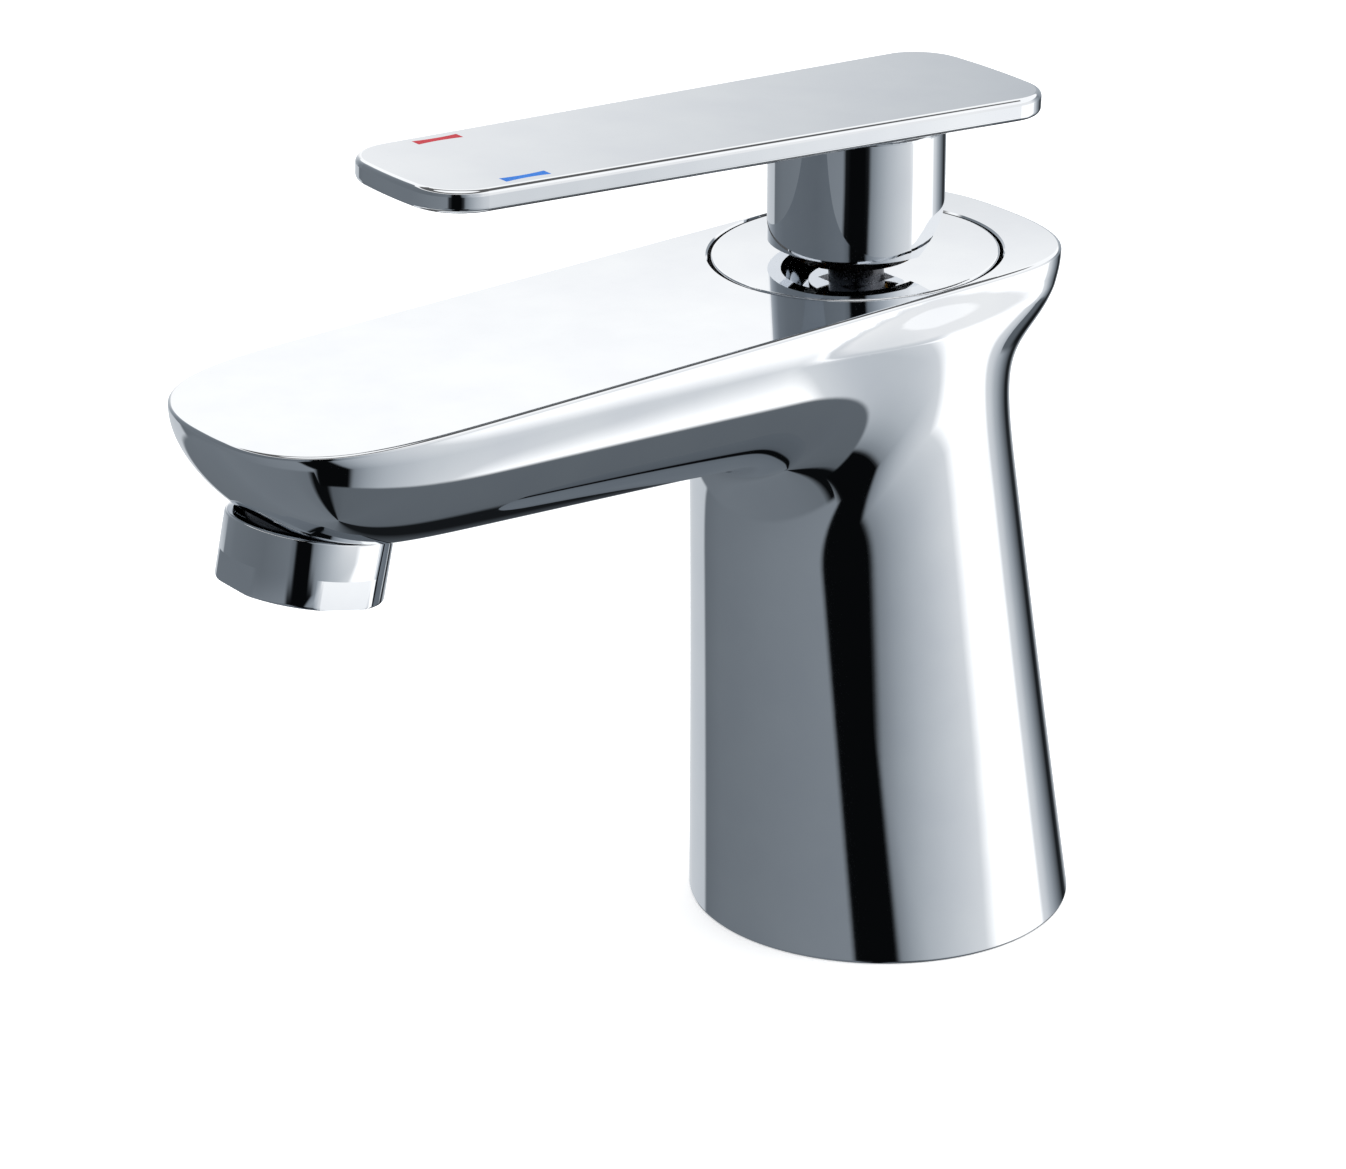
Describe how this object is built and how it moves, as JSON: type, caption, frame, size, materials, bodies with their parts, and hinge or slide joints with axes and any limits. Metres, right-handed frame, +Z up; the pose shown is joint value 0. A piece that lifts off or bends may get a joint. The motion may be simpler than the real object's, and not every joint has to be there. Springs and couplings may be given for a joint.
{
  "type": "bathroom mixer faucet",
  "caption": "Single-lever basin mixer with a flat-topped spout, round tapering column, flat lever on a round hub, ceramic disc cartridge and an aerator.",
  "frame": {"origin": "centre of the foot, on the surface that the faucet stands on and over the basin's tap hole", "axes": "+Z up, spout towards -Y, +X to the right of a person standing behind the spout's back end; X = 0 is the plane of symmetry of the castings"},
  "size_m": [0.0598, 0.151, 0.1336],
  "materials": {
    "chrome": "mirror polished chrome plate on brass",
    "black_rubber": "moulded rubber",
    "brass": "machined brass",
    "steel": "machined stainless steel",
    "white_plastic": "moulded plastic",
    "grey_plastic": "moulded plastic",
    "red_plastic": "moulded plastic",
    "ceramic": "lapped alumina ceramic",
    "red_enamel": "gloss enamel fill",
    "blue_enamel": "gloss enamel fill"
  },
  "bodies": {
    "faucet_body": {"body_casting": "chrome", "foot_gasket": "black_rubber", "cover_disc": "chrome", "cover_oring": "black_rubber", "retaining_nut": "brass", "slip_ring": "white_plastic", "cartridge_housing": "white_plastic", "housing_oring": "black_rubber", "cartridge_base": "grey_plastic", "port_seals": "black_rubber", "disc_seals": "black_rubber", "fixed_ceramic_disc": "ceramic", "aerator_housing": "chrome", "aerator_washer": "black_rubber", "aerator_screen": "steel", "aerator_insert": "grey_plastic", "aerator_grille": "grey_plastic"},
    "turret": {"swivel_turret": "white_plastic", "temperature_limit_ring": "red_plastic", "pivot_pin": "steel"},
    "disc": {"moving_ceramic_disc": "ceramic", "disc_carrier": "grey_plastic"},
    "handle": {"lever_spindle": "steel", "lever_handle": "chrome", "hot_mark": "red_enamel", "cold_mark": "blue_enamel", "grub_screw": "steel", "screw_plug": "chrome"}
  },
  "joints": [
    {"name": "handle_swivel", "type": "hinge", "parent": "faucet_body", "child": "turret", "pos_m": [0, -0.0064, 0.0955], "axis": [0, 0, 1], "range_deg": [-45, 45]},
    {"name": "handle_lift", "type": "hinge", "parent": "turret", "child": "handle", "pos_m": [0, -0.0064, 0.0955], "axis": [-1, 0, 0], "range_deg": [0, 20]},
    {"name": "disc_slide", "type": "slide", "parent": "turret", "child": "disc", "axis": [0, -1, 0], "range_m": [0, 0.00479]}
  ],
  "couplings": [
    {"joint": "disc_slide", "follows": "handle_lift", "m_per_rad": 0.013717}
  ]
}
